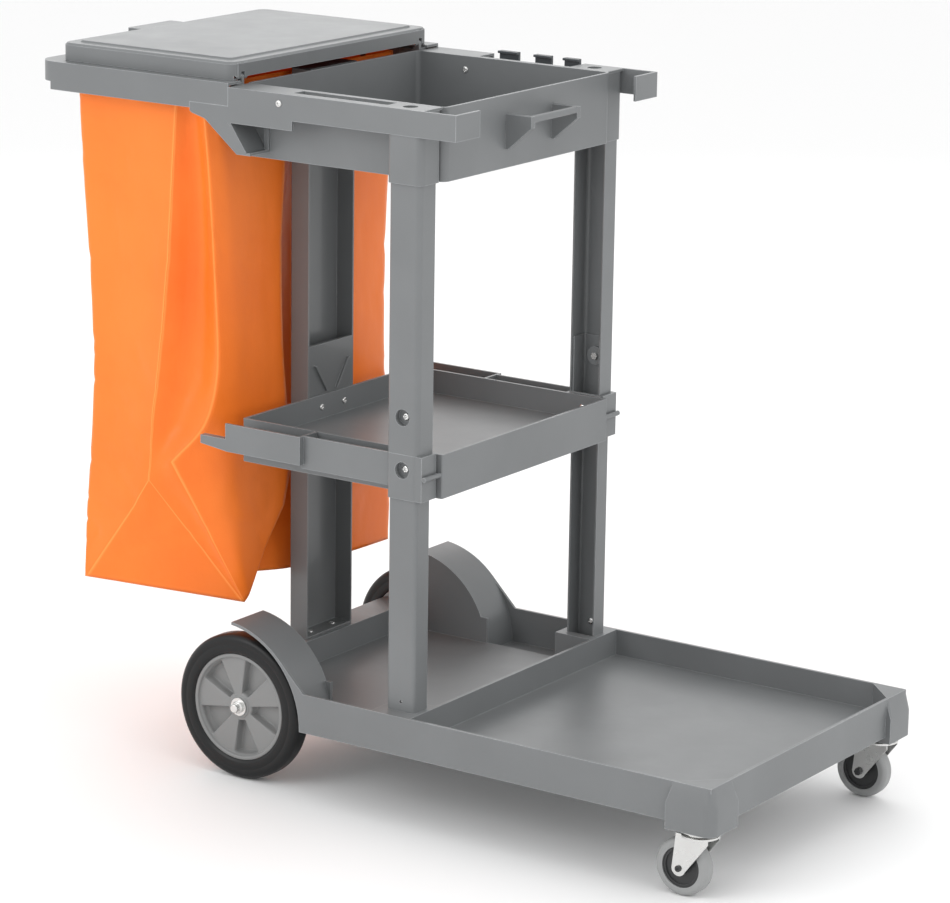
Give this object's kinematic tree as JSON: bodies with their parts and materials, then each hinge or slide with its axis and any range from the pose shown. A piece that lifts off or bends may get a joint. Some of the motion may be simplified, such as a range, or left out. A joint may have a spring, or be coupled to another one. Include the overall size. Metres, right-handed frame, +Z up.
{
  "type": "housekeeping cart",
  "caption": "Wheeled housekeeping cart with a low platform, middle shelf, top tub and a lidded frame that holds a hanging vinyl bag.",
  "frame": {"origin": "centre of the bounding box in plan, on the floor", "axes": "+Z up, +X towards the open platform and the casters, +Y to the cart's left seen from the bag end"},
  "size_m": [1.1038, 0.5224, 0.983],
  "materials": {
    "grey_plastic": "fine satin moulding texture",
    "dark_plastic": "satin",
    "grey_steel": "smooth satin paint",
    "black_steel": "satin black",
    "zinc_steel": "bright zinc plate",
    "hub_plastic": "satin",
    "black_rubber": "smooth, slight sheen",
    "grey_rubber": "matt, non marking",
    "black_plastic": "satin",
    "orange_vinyl": "soft coated vinyl, slight sheen"
  },
  "bodies": {
    "cart": {"base": "grey_plastic", "lower_post_right": "grey_plastic", "lower_post_left": "grey_plastic", "upper_post_right": "grey_plastic", "upper_post_left": "grey_plastic", "post_bolts": "zinc_steel", "post_nuts": "zinc_steel", "foot_screws": "zinc_steel", "column": "grey_steel", "column_hook_plate": "grey_steel", "column_cap": "black_steel", "column_screws": "zinc_steel", "mid_shelf": "grey_plastic", "shelf_pins": "grey_plastic", "shelf_screws": "zinc_steel", "top_tray": "grey_plastic", "tool_clips": "dark_plastic", "pull_handle": "grey_plastic", "tray_screws": "zinc_steel", "bag_frame": "grey_plastic", "hinge_pins": "zinc_steel", "bag_pegs": "grey_plastic", "vinyl_bag": "orange_vinyl", "axle": "zinc_steel", "axle_washers": "zinc_steel", "push_nuts": "zinc_steel", "caster_seat_right": "zinc_steel", "caster_seat_left": "zinc_steel"},
    "lid": {"lid": "grey_plastic"},
    "wheel_right": {"wheel_hub_right": "hub_plastic", "wheel_tyre_right": "black_rubber"},
    "fork_right": {"caster_race_right": "zinc_steel", "caster_fork_right": "zinc_steel", "caster_bolt_right": "black_steel", "caster_nut_right": "black_steel"},
    "roller_right": {"caster_core_right": "black_plastic", "caster_tread_right": "grey_rubber"},
    "wheel_left": {"wheel_hub_left": "hub_plastic", "wheel_tyre_left": "black_rubber"},
    "fork_left": {"caster_race_left": "zinc_steel", "caster_fork_left": "zinc_steel", "caster_bolt_left": "black_steel", "caster_nut_left": "black_steel"},
    "roller_left": {"caster_core_left": "black_plastic", "caster_tread_left": "grey_rubber"}
  },
  "joints": [
    {"name": "lid_hinge", "type": "hinge", "parent": "cart", "child": "lid", "pos_m": [-0.23295, 0, 0.96], "axis": [0, 1, 0], "range_deg": [0, 95]},
    {"name": "wheel_spin_right", "type": "hinge", "parent": "cart", "child": "wheel_right", "pos_m": [-0.22195, -0.208, 0.1016], "axis": [0, 1, 0], "continuous": true},
    {"name": "caster_swivel_right", "type": "hinge", "parent": "cart", "child": "fork_right", "pos_m": [0.51905, -0.2325, 0.08], "axis": [0, 0, 1], "continuous": true},
    {"name": "caster_roll_right", "type": "hinge", "parent": "fork_right", "child": "roller_right", "pos_m": [0.49705, -0.2325, 0.038], "axis": [0, 1, 0], "continuous": true},
    {"name": "wheel_spin_left", "type": "hinge", "parent": "cart", "child": "wheel_left", "pos_m": [-0.22195, 0.208, 0.1016], "axis": [0, 1, 0], "continuous": true},
    {"name": "caster_swivel_left", "type": "hinge", "parent": "cart", "child": "fork_left", "pos_m": [0.51905, 0.2325, 0.08], "axis": [0, 0, 1], "continuous": true},
    {"name": "caster_roll_left", "type": "hinge", "parent": "fork_left", "child": "roller_left", "pos_m": [0.49705, 0.2325, 0.038], "axis": [0, 1, 0], "continuous": true}
  ]
}
